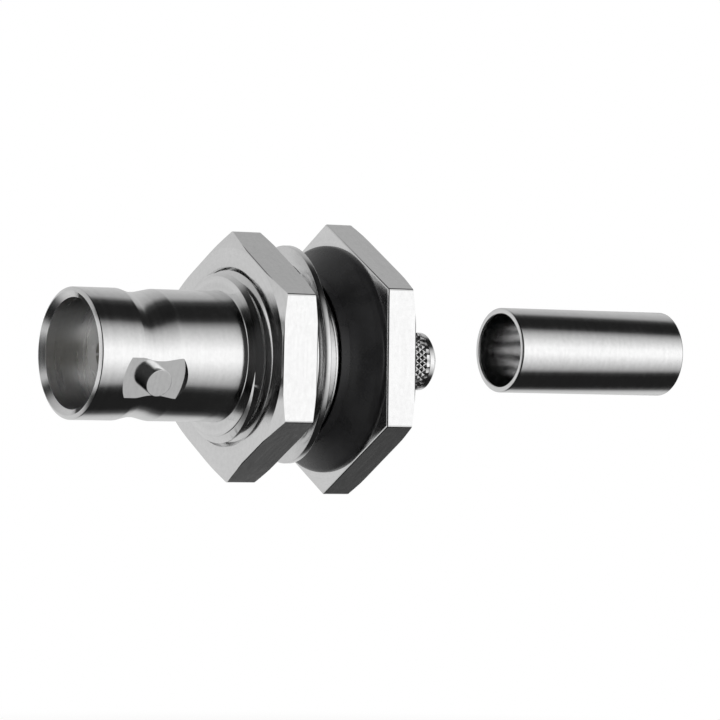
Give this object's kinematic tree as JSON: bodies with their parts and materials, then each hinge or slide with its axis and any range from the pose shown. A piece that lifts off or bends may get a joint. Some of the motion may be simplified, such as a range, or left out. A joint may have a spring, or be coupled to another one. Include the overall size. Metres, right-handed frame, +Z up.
{
  "type": "bnc connector",
  "caption": "Bulkhead coaxial jack with a bayonet mouth, hex flange, sealing ring, washer, nut and a separate crimp sleeve.",
  "frame": {"origin": "centre of the mouth plane, on the barrel's axis", "axes": "+X along the axis from the mouth towards the cable, +Z up through a corner of the hex flange, -Y towards the near bayonet lug"},
  "size_m": [0.0524, 0.0174, 0.02],
  "materials": {
    "bright_nickel": "bright nickel plate on brass",
    "washer_plate": "plated steel",
    "seal_rubber": "moulded black rubber",
    "bead_plastic": "white bead plastic",
    "contact_plate": "plated contact"
  },
  "bodies": {
    "jack": {"shell": "bright_nickel", "insulator": "bead_plastic", "centre_contact": "contact_plate", "crimp_stem": "bright_nickel", "sealing_ring": "seal_rubber", "crimp_ferrule": "bright_nickel"},
    "washer": {"washer": "washer_plate"},
    "nut": {"hex_nut": "bright_nickel"}
  },
  "joints": [
    {"name": "washer_slide", "type": "slide", "parent": "jack", "child": "washer", "axis": [1, 0, 0], "range_m": [-0.00301, 0.00016]},
    {"name": "nut_turn", "type": "hinge", "parent": "washer", "child": "nut", "pos_m": [0.01467, 0, 0], "axis": [1, 0, 0], "range_deg": [-1190, 59]}
  ],
  "couplings": [
    {"joint": "washer_slide", "follows": "nut_turn", "m_per_rad": 0.00014438}
  ]
}
